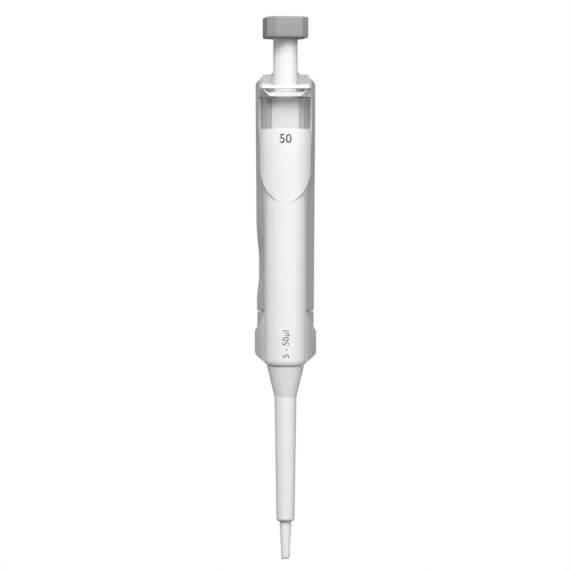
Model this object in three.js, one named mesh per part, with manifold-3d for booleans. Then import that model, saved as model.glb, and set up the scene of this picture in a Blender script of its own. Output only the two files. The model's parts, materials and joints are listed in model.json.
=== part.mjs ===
// A single-channel adjustable air-displacement pipette for 5 to 50 microlitres.
// Millimetres, +Z up. The origin is the centre of the nozzle's lower end, and -Y is the front.
import * as THREE from "three";
import { mergeVertices } from "three/addons/utils/BufferGeometryUtils.js";
import Module from "manifold-3d";

const wasm = await Module();
wasm.setup();

// ---------------------------------------------------------------- driving dimensions

const TOTAL_LENGTH = 235;
const GAP = 0.3; // between pieces that don't touch

// What the pipette measures out, and how far the knob turns and travels to do it.
const PISTON_RADIUS = 1.15;
const MEASURING_STROKE = 12; // 50 microlitres of a piston of that radius
const BLOWOUT_STROKE = 2;
const PRESS_TRAVEL = MEASURING_STROKE + BLOWOUT_STROKE;
const SCREW_LEAD = 2.4; // one turn of the knob is 10 microlitres

// The handle's cross-section: a round front, flanks that flare backwards, a broad back.
const FRONT_RADIUS = 9.2;
const HANDLE_WALL = 1.5;
const SEAM_Y = -1; // the front cover ends here and the rear housing starts
const BACK_Y = 21.5;
const BACK_CORNER = 5;
const PARTITION_Y = 8.6; // between the plunger's chamber and the ejector's
const PARTITION = 1.6;
const FRONT_CORNER = 7.8; // radius of the rounding on each side of the front
const FAR = 30; // beyond every side of the handle
const PANEL_RADIUS = 11.7;
const PANEL_CENTRE_Y = PANEL_RADIUS - FRONT_RADIUS;

// Heights.
const SLEEVE_BOTTOM = 16.3;
const SLEEVE_CREASE = 70.3;
const HANDLE_BOTTOM = 84.3;
const SLEEVE_TOP = HANDLE_BOTTOM - GAP;
const COLLAR_TOP = 107.3;
const HOUSING_BOTTOM = 107.6;
const PANEL_FULL_WIDTH = 170.7;
const PANEL_TOP = 186.5;
const LIP_BOTTOM = 200.1;
const RIM_SIDE = 207.2;
const RIM_BOTTOM = 203.6;
const HEAD_TOP = 210.6;
const KNOB_BOTTOM = 225.8;

// The knob, the plunger and the ejector.
const KNOB_HALF = 9.1;
const KNOB_FLAT_HALF = 5.85;
const KNOB_TURNED = THREE.MathUtils.degToRad(9.75);
const ROD_RADIUS = 5.3;
const PUSH_ROD_RADIUS = 2;
const NECK_RADIUS = 3.4; // across the corners of the hexagonal neck
const NECK_BOTTOM = 160;
const SHOULDER = 190;
const EJECTOR_Y = 15.4;
const EJECTOR_TOP = 213.1;
const EJECTOR_ROD_RADIUS = 1.5;
const FOOT_BOTTOM = 103;

// The tip cone's flange, and the ejector's arm that passes behind it.
const FLANGE_RADIUS = 6.5;
const FLANGE_TOP = 87.4;
const CONE_NECK_RADIUS = 5.4;
const ARM_HALF = 3;
const ARM_FRONT = 6.9;
const ARM_BACK = 8.5;

// The ejector's button and rod.
const BUTTON_HALF = 6.5;
const BUTTON_FRONT = 11.5;
const BUTTON_BACK = 19.4;
const BUTTON_BOTTOM = 196;
const EJECTOR_ROD_TOP = 203;

// The knob's screw and cap.
const ROD_TOP = KNOB_BOTTOM + 3.3;
const KNOB_SCREW_RADIUS = 1.2;
const KNOB_SCREW_HEAD_BOTTOM = TOTAL_LENGTH - 3.1;
const CAP_RADIUS = 6.1;

// The number rings behind the display, and the round chamber below them.
const RING_RADIUS = 6.2;
const RING_HEIGHT = 4.2;
const UNITS_BOTTOM = 187.2;
const TENS_BOTTOM = 191.8;
const CHAMBER_RADIUS = 7.2;
const KEYWAY_HALF = 1.6; // the groove in the partition that the volume nut's key slides in
const FLAT_FRONT_HALF = FRONT_RADIUS - FRONT_CORNER;

// The finger hook.
const HOOK_UNDERSIDE = 191;
const HOOK_HALF_WIDTH = 7;
const HOOK_SCREW_HEIGHTS = [177.6, 202.2];
const HOOK_SCREW_RADIUS = 1.1;
const HOOK_SCREW_HEAD_RADIUS = 2.2;

// Heights inside the handle, from the air cylinder up.
const CYLINDER_TOP = 76;
const SPRING_BOTTOM = 81.7;
const PISTON_HEAD_BOTTOM = 112.3;
const PISTON_HEAD_TOP = 115;
const STOP_BOTTOM = 120;
const STOP_TOP = 121.5;
const SCREW_BOTTOM = 146;
const CUP_BOTTOM = 172;
const NUT_BOTTOM = 160;
const NUT_TOP = 166;
const GUIDE_TOP = 152;
const CLIP_BOTTOM = 178;

// ---------------------------------------------------------------- outlines

const v2 = (x, y) => new THREE.Vector2(x, y);

// The outline of a belt drawn tight around circles [x, y, radius], listed counter-clockwise.
function belt(circles, pointsPerArc = 6) {
  const leaves = circles.map(([x, y, r], i) => {
    const [nx, ny, nr] = circles[(i + 1) % circles.length];
    const heading = Math.atan2(ny - y, nx - x);
    return heading - Math.acos((r - nr) / Math.hypot(nx - x, ny - y));
  });
  return circles.flatMap(([x, y, r], i) => {
    const start = leaves[(i + circles.length - 1) % circles.length];
    const sweep = (leaves[i] - start + 4 * Math.PI) % (2 * Math.PI);
    return Array.from({ length: pointsPerArc }, (_, k) => {
      const angle = start + (sweep * k) / (pointsPerArc - 1);
      return v2(x + r * Math.cos(angle), y + r * Math.sin(angle));
    });
  });
}

const rectangle = (x0, y0, x1, y1) => [v2(x0, y0), v2(x1, y0), v2(x1, y1), v2(x0, y1)];

// Points of an elliptical arc about (x, y), from one angle to another, in degrees.
function arc(x, y, rx, ry, from, to, steps) {
  return Array.from({ length: steps + 1 }, (_, k) => {
    const angle = THREE.MathUtils.degToRad(from + ((to - from) * k) / steps);
    return v2(x + rx * Math.cos(angle), y + ry * Math.sin(angle));
  });
}

function smoothstep(from, to, value) {
  const t = THREE.MathUtils.clamp((value - from) / (to - from), 0, 1);
  return t * t * (3 - 2 * t);
}

// ---------------------------------------------------------------- solids

// A closed geometry as a manifold-3d solid that faces out.
function solid(geometry) {
  const bare = new THREE.BufferGeometry();
  bare.setAttribute("position", geometry.getAttribute("position"));
  bare.setIndex(geometry.index);
  const merged = mergeVertices(bare, 1e-4);
  const corners = [];
  for (let i = 0; i < merged.index.count; i += 3) {
    const [a, b, c] = [0, 1, 2].map((k) => merged.index.getX(i + k));
    if (a !== b && b !== c && c !== a) corners.push(a, b, c);
  }
  const vertProperties = merged.attributes.position.array;
  const build = (triangles) =>
    new wasm.Manifold(
      new wasm.Mesh({ numProp: 3, vertProperties, triVerts: new Uint32Array(triangles) }),
    );
  const made = build(corners);
  return made.volume() > 0 ? made : build(corners.reverse());
}

function geometryOf(made) {
  const { numProp, vertProperties, triVerts } = made.getMesh();
  const positions = new Float32Array(triVerts.length * 3);
  triVerts.forEach((vertex, i) => {
    positions.set(vertProperties.subarray(vertex * numProp, vertex * numProp + 3), i * 3);
  });
  const geometry = new THREE.BufferGeometry();
  geometry.setAttribute("position", new THREE.BufferAttribute(positions, 3));
  geometry.computeVertexNormals();
  return geometry;
}

// A solid of revolution about Z from a closed profile of [radius, height].
function lathe(profile, segments = 32) {
  const points = profile.map(([r, z]) => v2(r, z));
  const onAxis = profile[0][0] === 0 && profile.at(-1)[0] === 0;
  if (!onAxis) points.push(points[0].clone());
  return solid(new THREE.LatheGeometry(points, segments).rotateX(Math.PI / 2));
}

const ring = (inner, outer, bottom, top, segments) =>
  lathe([[inner, bottom], [outer, bottom], [outer, top], [inner, top]], segments);

const disc = (radius, bottom, top, segments) =>
  lathe([[0, bottom], [radius, bottom], [radius, top], [0, top]], segments);

// A plan outline raised from one height to another.
function prism(outline, bottom, top) {
  const options = { depth: top - bottom, bevelEnabled: false };
  return solid(new THREE.ExtrudeGeometry(new THREE.Shape(outline), options).translate(0, 0, bottom));
}

// An outline drawn in the front view, as (x, z), that runs from y = near back to y = far.
function throughY(outline, near, far) {
  const options = { depth: far - near, bevelEnabled: false };
  const geometry = new THREE.ExtrudeGeometry(new THREE.Shape(outline), options);
  return solid(geometry.rotateX(Math.PI / 2).translate(0, far, 0));
}

// An outline drawn in the side view, as (y, z), that runs from x = -half to x = half.
function throughX(outline, half) {
  const options = { depth: 2 * half, bevelEnabled: false };
  const geometry = new THREE.ExtrudeGeometry(new THREE.Shape(outline), options);
  const axes = new THREE.Matrix4().makeBasis(
    new THREE.Vector3(0, 1, 0),
    new THREE.Vector3(0, 0, 1),
    new THREE.Vector3(1, 0, 0),
  );
  return solid(geometry.applyMatrix4(axes).translate(-half, 0, 0));
}

function block(x0, y0, z0, x1, y1, z1) {
  const geometry = new THREE.BoxGeometry(x1 - x0, y1 - y0, z1 - z0);
  return solid(geometry.translate((x0 + x1) / 2, (y0 + y1) / 2, (z0 + z1) / 2));
}

// A solid that passes through plan outlines with equal numbers of points, at rising heights.
function loft(heights, outlineAt) {
  const outlines = heights.map(outlineAt);
  const count = outlines[0].length;
  const positions = outlines.flatMap((outline, level) =>
    outline.flatMap((p) => [p.x, p.y, heights[level]]),
  );
  const index = [];
  for (let level = 0; level < heights.length - 1; level++) {
    for (let i = 0; i < count; i++) {
      const [a, b] = [level * count + i, level * count + ((i + 1) % count)];
      index.push(a, b, b + count, a, b + count, a + count);
    }
  }
  const top = (heights.length - 1) * count;
  THREE.ShapeUtils.triangulateShape(outlines[0], []).forEach(([a, b, c]) => index.push(c, b, a));
  THREE.ShapeUtils.triangulateShape(outlines.at(-1), []).forEach(([a, b, c]) => {
    index.push(top + a, top + b, top + c);
  });
  const geometry = new THREE.BufferGeometry();
  geometry.setAttribute("position", new THREE.Float32BufferAttribute(positions, 3));
  geometry.setIndex(index);
  return solid(geometry);
}

// A wire wound into a helix about Z: a coil spring, or a screw's thread.
class Helix extends THREE.Curve {
  constructor(radius, bottom, top, turns) {
    super();
    Object.assign(this, { radius, bottom, top, turns });
  }
  getPoint(t, target = new THREE.Vector3()) {
    const angle = 2 * Math.PI * this.turns * t;
    const z = this.bottom + (this.top - this.bottom) * t;
    return target.set(this.radius * Math.cos(angle), this.radius * Math.sin(angle), z);
  }
}

function coil({ radius, wire, bottom, top, turns, sides = 6, stepsPerTurn = 12 }) {
  const section = new THREE.Shape(arc(0, 0, wire, wire, 0, 360 - 360 / sides, sides - 1));
  const extrudePath = new Helix(radius, bottom + wire, top - wire, turns);
  const steps = Math.round(turns * stepsPerTurn);
  return solid(new THREE.ExtrudeGeometry(section, { extrudePath, steps, bevelEnabled: false }));
}

// ---------------------------------------------------------------- materials

const WHITE = 0xf1f1f1;
const DIAL_WHITE = 0xf4f4f4;
const PALE_GREY = 0xdcdcdc;
const INNER_GREY = 0x9d9d9d;
const KNOB_GREY = 0xa6a6a6;
const LIME = 0xb5c334;
const DARK = 0x2d2e30;

const plastic = (color) =>
  new THREE.MeshStandardMaterial({ color, roughness: 0.45, metalness: 0 });
const metal = (color) =>
  new THREE.MeshStandardMaterial({ color, roughness: 0.28, metalness: 1 });
const steel = () => metal(0xb9bcc0);
const brass = () => metal(0xc9b26b);
const clear = () =>
  new THREE.MeshStandardMaterial({
    color: 0xf4f7f8,
    roughness: 0.08,
    metalness: 0,
    transparent: true,
    opacity: 0.25,
  });

function add(group, name, made, material) {
  const mesh = new THREE.Mesh(geometryOf(made), material);
  mesh.name = name;
  group.add(mesh);
  return mesh;
}

// ---------------------------------------------------------------- the handle's form

// Half the handle's width: it narrows a little towards the bottom.
const halfWidth = (z) => THREE.MathUtils.mapLinear(z, COLLAR_TOP, RIM_SIDE, 12.5, 13.15);

// The left flank is waisted where the middle finger lies.
const waist = (z) => smoothstep(114, 122, z) * (1 - smoothstep(131, 145, z));

// The front of the rear housing widens upwards to hold the display bay.
const shoulderHalf = (z) => FRONT_RADIUS + 2.3 * smoothstep(150, PANEL_TOP, z);

function handleOutline(z, inset = 0) {
  const front = shoulderHalf(z) - FRONT_CORNER;
  const back = halfWidth(z) - BACK_CORNER;
  const backLeft = back - waist(z);
  const cornerY = BACK_Y - BACK_CORNER;
  return belt([
    [-front, 0, FRONT_CORNER - inset],
    [front, 0, FRONT_CORNER - inset],
    [back, cornerY, BACK_CORNER - inset],
    [-backLeft, cornerY, BACK_CORNER - inset],
  ]);
}

const WAIST_LEVELS = [114, 118, 122, 131, 135, 140, 145];
const SHOULDER_LEVELS = [150, 160, 170, 180, 187];
const CHAMFER = 0.4;
const HANDLE_LEVELS = [
  HOUSING_BOTTOM,
  HOUSING_BOTTOM + CHAMFER,
  ...WAIST_LEVELS,
  ...SHOULDER_LEVELS,
  HEAD_TOP + 1.4,
];

// How far an outline is drawn in near an edge, which gives the joint between two shells its groove.
const chamferAt = (edge, z) => CHAMFER * (1 - smoothstep(0, CHAMFER, Math.abs(z - edge)));

// The wide upper part of the front: a flatter arc whose lower edge, seen from the front, is a U.
function widePanel() {
  const half = 11.5;
  const uHeight = 16.4;
  const frontView = [
    ...arc(0, PANEL_FULL_WIDTH, half, uHeight, 180, 360, 20),
    v2(half, PANEL_TOP),
    v2(-half, PANEL_TOP),
  ];
  const plan = arc(0, PANEL_CENTRE_Y, PANEL_RADIUS, PANEL_RADIUS, 180, 360, 28);
  const below = PANEL_FULL_WIDTH - uHeight - 5;
  return prism(plan, below, PANEL_TOP).intersect(throughY(frontView, -FAR, FAR));
}

// The bay behind the display window: hollow cheeks narrow it, and it ends at the partition.
function bayOutline() {
  const ahead = -16;
  const mouth = 11;
  const throat = 8.4;
  const curve = new THREE.QuadraticBezierCurve(
    v2(mouth, SEAM_Y - 0.5),
    v2(mouth - 0.9, 1.4),
    v2(throat, 3),
  ).getPoints(6);
  const rightWall = [v2(mouth, ahead), ...curve, v2(throat, PARTITION_Y)];
  const leftWall = rightWall.map((p) => v2(-p.x, p.y)).reverse();
  return [...rightWall, ...leftWall];
}

// The open bowl above the rim, which leaves only thin walls at the sides.
function bowlOutline() {
  const [half, round] = [11.3, 4];
  const back = PARTITION_Y - round;
  return [
    v2(-half, -FAR),
    v2(half, -FAR),
    ...arc(half - round, back, round, round, 0, 90, 6),
    ...arc(round - half, back, round, round, 90, 180, 6),
  ];
}

// ---------------------------------------------------------------- housing pieces

function rearHousing() {
  const outer = loft(HANDLE_LEVELS, (z) => handleOutline(z, chamferAt(HOUSING_BOTTOM, z)));
  const inner = loft(HANDLE_LEVELS, (z) => handleOutline(z, HANDLE_WALL));
  const below = HOUSING_BOTTOM - 5;
  const above = HEAD_TOP + 10;
  const plungerChamber = inner.intersect(block(-FAR, -FAR, below, FAR, PARTITION_Y, PANEL_TOP));
  const ejectorFront = PARTITION_Y + PARTITION;
  const ejectorRoof = EJECTOR_TOP - 8.1;
  const ejectorChamber = inner.intersect(block(-FAR, ejectorFront, below, FAR, FAR, ejectorRoof));
  const mouthHalf = BUTTON_HALF + 0.4;
  const mouthFront = BUTTON_FRONT - 0.4;
  const mouthBack = BACK_Y - HANDLE_WALL;
  const ejectorMouth = block(-mouthHalf, mouthFront, BUTTON_BOTTOM - 6, mouthHalf, mouthBack, above);
  const [keyFront, keyBack] = [PARTITION_Y - 1, ejectorFront + 1];
  const [keyBottom, keyTop] = [SCREW_BOTTOM + 0.5, NUT_TOP + 2];
  const nutKeyway = block(-KEYWAY_HALF, keyFront, keyBottom, KEYWAY_HALF, keyBack, keyTop);
  return outer
    .subtract(plungerChamber)
    .subtract(ejectorChamber)
    .subtract(prism(bayOutline(), PANEL_TOP, above))
    .subtract(prism(bowlOutline(), RIM_BOTTOM, above))
    .subtract(ejectorMouth)
    .subtract(nutKeyway)
    .subtract(block(-FAR, -FAR, below, FAR, SEAM_Y, above))
    .subtract(hookScrewHoles())
    .intersect(headFrontView())
    .intersect(headSideView());
}

// The head seen from the front: a flat top whose corners are hollowed out.
function headFrontView() {
  const flatHalf = 9.7;
  const [side, bottom] = [14, HOUSING_BOTTOM - 10];
  const right = new THREE.QuadraticBezierCurve(
    v2(side, RIM_SIDE - 1),
    v2(flatHalf + 1.1, HEAD_TOP - 2.4),
    v2(flatHalf, HEAD_TOP),
  ).getPoints(5);
  const left = right.map((p) => v2(-p.x, p.y)).reverse();
  return throughY([v2(-side, bottom), v2(side, bottom), ...right, ...left], -FAR, FAR);
}

// The head seen from the side: it rises from the rim to the back wall, and its back is rounded.
function headSideView() {
  const rise = new THREE.QuadraticBezierCurve(
    v2(7.6, HEAD_TOP),
    v2(4, RIM_SIDE + 0.3),
    v2(SEAM_Y - 1, RIM_SIDE),
  ).getPoints(5);
  const bottom = HOUSING_BOTTOM - 10;
  const round = 4;
  const backRound = arc(BACK_Y - round, HEAD_TOP - round, round, round, 0, 90, 5);
  const corners = [v2(-FAR, bottom), v2(BACK_Y, bottom)];
  return throughX([...corners, ...backRound, ...rise, v2(-FAR, RIM_SIDE)], FAR);
}

// The front cover's lower edge, seen from the side: it bows down a little at the front.
const FRONT_BOTTOM = HANDLE_BOTTOM - 1.1;
const bowedEdge = () => [v2(-FRONT_RADIUS - 1, FRONT_BOTTOM), v2(2, FRONT_BOTTOM + 1.4)];

function frontCover() {
  const innerRadius = FRONT_RADIUS - 1.6;
  const lowest = FRONT_BOTTOM;
  const below = HANDLE_BOTTOM - 5;
  const barrel = lathe([
    [0, below],
    [FRONT_RADIUS - 1.3, below],
    [FRONT_RADIUS - 1.3, lowest],
    [FRONT_RADIUS - 1, HANDLE_BOTTOM],
    [FRONT_RADIUS - 0.45, HANDLE_BOTTOM + 0.7],
    [FRONT_RADIUS, HANDLE_BOTTOM + 1.9],
    [FRONT_RADIUS, PANEL_TOP],
    [0, PANEL_TOP],
  ], 48);
  const bore = disc(innerRadius, below - 1, PANEL_TOP + 1, 48);
  const front = block(-FAR, -FAR, below, FAR, SEAM_Y - GAP, PANEL_TOP);
  const [edgeFront, edgeBack] = bowedEdge();
  const underEdge = [edgeFront, edgeBack, v2(edgeBack.x, below - 1), v2(edgeFront.x, below - 1)];
  return barrel
    .add(widePanel())
    .intersect(front)
    .subtract(bore)
    .subtract(throughX(underEdge, FAR));
}

// The collar swells from the size of the cone below it to that of the handle above it.
function collarOutline(z, inset = 0) {
  const front = FRONT_CORNER - 1.3 * (1 - smoothstep(HANDLE_BOTTOM - 1, 86.2, z)) - inset;
  const sideways = smoothstep(HANDLE_BOTTOM, 90.5, z);
  const backwards = smoothstep(HANDLE_BOTTOM, 98, z);
  const corner = BACK_CORNER - 1.5 * (1 - sideways) - inset;
  const cornerX = 5 + 2.4 * sideways;
  const cornerY = 12 + 4.5 * backwards;
  return belt([
    [-FLAT_FRONT_HALF, 0, front],
    [FLAT_FRONT_HALF, 0, front],
    [cornerX, cornerY, corner],
    [-cornerX, cornerY, corner],
  ]);
}

// The two swellings at the sides, which the hand rests on.
function hips() {
  const half = 13.38;
  const round = 4.8;
  const roundY = 10.4;
  const plan = belt([
    [-FLAT_FRONT_HALF, 0, FRONT_CORNER],
    [FLAT_FRONT_HALF, 0, FRONT_CORNER],
    [half - round, roundY, round],
    [round - half, roundY, round],
  ]);
  const rightEdge = [
    v2(8.2, HANDLE_BOTTOM),
    v2(8.8, 85),
    v2(half - 1, 87.8),
    v2(half, 89.3),
    v2(half, 98.9),
    v2(FRONT_RADIUS, 105.9),
  ];
  const leftEdge = rightEdge.map((p) => v2(-p.x, p.y)).reverse();
  return prism(plan, HANDLE_BOTTOM, COLLAR_TOP - 1).intersect(
    throughY([...rightEdge, ...leftEdge], -FAR, FAR),
  );
}

// A thin wall round the collar's top that enters the housing; it leaves room for the partition.
function tongue() {
  const [bottom, top] = [COLLAR_TOP - 3, HOUSING_BOTTOM + 2];
  const outerInset = HANDLE_WALL + GAP;
  const walls = (inset) => loft([bottom, top], () => handleOutline(HOUSING_BOTTOM, inset));
  const partitionRoom = block(
    -FAR,
    PARTITION_Y - GAP,
    COLLAR_TOP,
    FAR,
    PARTITION_Y + PARTITION + GAP,
    top + 1,
  );
  const foot = loft([bottom, COLLAR_TOP - 0.5], () => handleOutline(HOUSING_BOTTOM, 1));
  return walls(outerInset)
    .add(foot)
    .subtract(walls(outerInset + 0.8))
    .subtract(partitionRoom);
}

// The lower end of the rear housing. A plate across it carries the tip cone's flange.
function hipCollar() {
  const levels = [HANDLE_BOTTOM, 85.2, 86.2, 88, 90.5, 94, 98, COLLAR_TOP - CHAMFER, COLLAR_TOP];
  const hollowLevels = [...levels.slice(1, -1), COLLAR_TOP + 1.4];
  const hollow = loft(hollowLevels, (z) => collarOutline(z, HANDLE_WALL));
  const [below, above] = [HANDLE_BOTTOM - 20, COLLAR_TOP + 20];
  const front = block(-FAR, -FAR, below, FAR, SEAM_Y, above);
  const plateBottom = FLANGE_TOP + 0.4;
  const plateTop = plateBottom + 1.8;
  const plate = prism(collarOutline(plateBottom, 0.7), plateBottom, plateTop)
    .subtract(front)
    .add(disc(7.2, plateBottom, plateTop));
  const flangeSeat = disc(FLANGE_RADIUS + 0.5, below, FLANGE_TOP - 0.4);
  const neckHole = disc(CONE_NECK_RADIUS + GAP, below, above);
  const armSlotHalf = ARM_HALF + 0.4;
  const armSlot = block(-armSlotHalf, 6, below, armSlotHalf, ARM_BACK + 0.4, above);
  return loft(levels, (z) => collarOutline(z, chamferAt(COLLAR_TOP, z)))
    .add(hips())
    .subtract(hollow)
    .add(tongue())
    .subtract(front)
    .add(plate)
    .subtract(flangeSeat)
    .subtract(neckHole)
    .subtract(armSlot);
}

// The frame at the top of the front: a curved rim above a sight slot, and a straight lip below it.
function headBezel() {
  const sideY = SEAM_Y - GAP;
  const rimWall = 1.4;
  const band = (inset, bottom, top) => {
    const outline = arc(0, sideY, 11.6 - inset, FRONT_RADIUS - inset, 180, 360, 24);
    return prism(outline, bottom, top);
  };
  const beyond = 14;
  const rimTop = new THREE.QuadraticBezierCurve(
    v2(beyond, RIM_SIDE),
    v2(0, RIM_SIDE - 4.7),
    v2(-beyond, RIM_SIDE),
  ).getPoints(12);
  const underRimTop = [v2(-beyond, LIP_BOTTOM), v2(beyond, LIP_BOTTOM), ...rimTop];
  const rim = band(0, RIM_BOTTOM, HEAD_TOP)
    .subtract(band(rimWall, RIM_BOTTOM - 1, HEAD_TOP + 1))
    .intersect(throughY(underRimTop, -FAR, 0));
  const lipFront = -11.8;
  const lipSide = 11.4;
  const lipOutline = (z) => {
    const flat = THREE.MathUtils.mapLinear(z, LIP_BOTTOM, RIM_BOTTOM, 6.7, 10);
    return [v2(-flat, lipFront), v2(flat, lipFront), v2(lipSide, sideY), v2(-lipSide, sideY)];
  };
  const [cavityHalf, cavityBack] = [6, lipSide - 1.1];
  const cavity = [
    v2(-cavityHalf, lipFront + 1.5),
    v2(cavityHalf, lipFront + 1.5),
    v2(cavityBack, sideY + 1),
    v2(-cavityBack, sideY + 1),
  ];
  const slotBottom = RIM_BOTTOM - 1.7;
  const sightSlot = [
    v2(-7.3, slotBottom),
    v2(7.3, slotBottom),
    v2(10.2, RIM_BOTTOM),
    v2(-10.2, RIM_BOTTOM),
  ];
  return loft([LIP_BOTTOM, RIM_BOTTOM + 0.4], lipOutline)
    .subtract(throughY(sightSlot, -FAR, FAR))
    .subtract(prism(cavity, LIP_BOTTOM - 1, HEAD_TOP))
    .add(rim);
}

// The clear pane over the display bay.
function displayWindow() {
  const sideY = SEAM_Y - GAP;
  const [half, bulge, thickness] = [11.1, 7.9, 0.6];
  const [bottom, top] = [PANEL_TOP + GAP, LIP_BOTTOM - GAP];
  const pane = (inset) => arc(0, sideY, half - inset, bulge - inset, 180, 360, 24);
  const inside = [...pane(thickness), v2(half + 1, sideY + 1), v2(-half - 1, sideY + 1)];
  return prism(pane(0), bottom, top).subtract(prism(inside, bottom - 1, top + 1));
}

function displayPlate() {
  const half = 5.85;
  const [front, back] = [-7.1, -6.5];
  return block(-half, front, PANEL_TOP + GAP, half, back, LIP_BOTTOM - GAP);
}

// The block behind the plate, bored for the plunger rod and the two number rings.
function counterFrame() {
  const half = 8.1;
  const [bottom, top] = [PANEL_TOP + 0.4, LIP_BOTTOM - 0.5];
  const ringsBore = disc(RING_RADIUS + 0.7, bottom - 1, TENS_BOTTOM + RING_HEIGHT + 0.4);
  const rodBore = disc(ROD_RADIUS + 0.4, bottom, top + 1);
  return block(-half, -5.6, bottom, half, PARTITION_Y - GAP, top)
    .subtract(ringsBore)
    .subtract(rodBore);
}

// Keeps the plunger rod upright; a notch at the front shows the rod.
function rodGuide() {
  const [bottom, top] = [LIP_BOTTOM + 0.4, RIM_BOTTOM - GAP];
  const right = [v2(5.6, -8.6), v2(9.2, -2.4), v2(9.2, 0.4), v2(7.9, 2.8), v2(7.9, 6)];
  const left = right.map((p) => v2(-p.x, p.y)).reverse();
  const notchHalf = 4.6;
  return prism([...right, ...left], bottom, top)
    .subtract(disc(ROD_RADIUS + GAP, bottom - 1, top + 1))
    .subtract(block(-notchHalf, -FAR, bottom - 1, notchHalf, 0, top + 1));
}

// The hook that rests on the index finger and hangs the pipette on its stand, from the side.
function hookOutline() {
  const pad = BACK_Y + GAP;
  const face = pad + 2.6;
  const reach = 47;
  const tipRadius = 2;
  const tipZ = HOOK_UNDERSIDE - 4.5;
  const topCurve = new THREE.CubicBezierCurve(
    v2(reach, tipZ),
    v2(reach - 0.6, tipZ + 7.5),
    v2(reach - 17, HOOK_UNDERSIDE + 4.5),
    v2(face, HOOK_UNDERSIDE + 8.4),
  ).getPoints(10);
  const tip = arc(reach - tipRadius, tipZ, tipRadius, tipRadius, 270, 360, 4);
  const innerCurve = new THREE.CubicBezierCurve(
    v2(face, HOOK_UNDERSIDE - 8),
    v2(face, HOOK_UNDERSIDE - 1),
    v2(face + 2.6, HOOK_UNDERSIDE),
    v2(face + 5.6, HOOK_UNDERSIDE),
  ).getPoints(6);
  const droop = HOOK_UNDERSIDE - tipZ;
  const underTip = arc(reach - 8.5, tipZ, droop, droop, 90, 0, 5);
  const [bottom, top] = [HOOK_SCREW_HEIGHTS[0] - 4, HOOK_SCREW_HEIGHTS[1] + 3.8];
  const chamfer = 0.6;
  return [
    v2(pad, bottom),
    v2(face - chamfer, bottom),
    v2(face, bottom + chamfer),
    ...innerCurve,
    ...underTip,
    ...tip,
    ...topCurve,
    v2(face, top - chamfer),
    v2(face - chamfer, top),
    v2(pad, top),
  ];
}

function alongY(made, x, z) {
  const turned = geometryOf(made).rotateX(Math.PI / 2);
  return solid(turned.translate(x, 0, z));
}

// Round holes of one radius at both screws, between two depths.
function atHookScrews(radius, from, to) {
  const hole = disc(radius, -to, -from, 20);
  const [lower, upper] = HOOK_SCREW_HEIGHTS.map((z) => alongY(hole, 0, z));
  return lower.add(upper);
}

const hookScrewHoles = () => atHookScrews(HOOK_SCREW_RADIUS + GAP, BACK_Y - 3.5, FAR);

function fingerHook() {
  const counterbores = atHookScrews(HOOK_SCREW_HEAD_RADIUS + GAP, BACK_Y + 1.9, BACK_Y + 5.5);
  return throughX(hookOutline(), HOOK_HALF_WIDTH)
    .subtract(hookScrewHoles())
    .subtract(counterbores);
}

// A cross-recessed screw that enters the back wall.
function hookScrew(z) {
  const [shank, head, chamfer] = [HOOK_SCREW_RADIUS, HOOK_SCREW_HEAD_RADIUS, 0.6];
  const tip = -(BACK_Y - 1.2);
  const headBottom = -(BACK_Y + 2.1);
  const headTop = headBottom - 1.5;
  const screw = lathe([
    [0, headTop], [head - chamfer, headTop], [head, headTop + chamfer], [head, headBottom],
    [shank, headBottom], [shank, tip], [0, tip],
  ], 16);
  const [slotHalf, slotReach, slotDepth] = [0.35, 1.6, 0.8];
  const [above, floor] = [headTop - 1, headTop + slotDepth];
  const slot = block(-slotHalf, -slotReach, above, slotHalf, slotReach, floor);
  const crossSlot = block(-slotReach, -slotHalf, above, slotReach, slotHalf, floor);
  return alongY(screw.subtract(slot).subtract(crossSlot), 0, z);
}

// ---------------------------------------------------------------- the lower end

// The nozzle that a disposable tip is pushed onto, the air cylinder above it, and its flange.
function tipCone() {
  const channel = 0.6;
  const cylinder = PISTON_RADIUS + GAP;
  const cylinderBottom = 22;
  const sealSeat = 3;
  const [nutSeat, neckTop] = [4.2, 96];
  const retainerSeat = SPRING_BOTTOM - 1.5;
  const nozzle = [
    [channel, 0], [1.45, 0], [1.78, 0.5], [1.92, 1.6], [1.97, 5], [2.38, 11.6],
    [2.52, SLEEVE_BOTTOM + 0.2],
  ];
  const shank = [
    [2.6, 20], [2.9, 66], [5, 80], [FLANGE_RADIUS, HANDLE_BOTTOM], [FLANGE_RADIUS, FLANGE_TOP],
    [CONE_NECK_RADIUS, FLANGE_TOP], [CONE_NECK_RADIUS, neckTop],
  ];
  const bore = [
    [nutSeat, neckTop], [nutSeat, retainerSeat], [sealSeat, retainerSeat],
    [sealSeat, CYLINDER_TOP], [cylinder, CYLINDER_TOP], [cylinder, cylinderBottom],
    [channel, cylinderBottom],
  ];
  return lathe([...nozzle, ...shank, ...bore], 28);
}

const unionNut = () => ring(CONE_NECK_RADIUS + 0.5, FLANGE_RADIUS + 0.1, 90, 95, 12);
const pistonSeal = () => ring(PISTON_RADIUS + GAP, 2.7, CYLINDER_TOP + 0.3, CYLINDER_TOP + 2.3, 24);
const oRing = () => solid(new THREE.TorusGeometry(2.1, 0.6, 8, 24).translate(0, 0, 79.2));
const sealRetainer = () => ring(1.5, 3.9, SPRING_BOTTOM - 1.2, SPRING_BOTTOM - GAP, 24);

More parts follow.
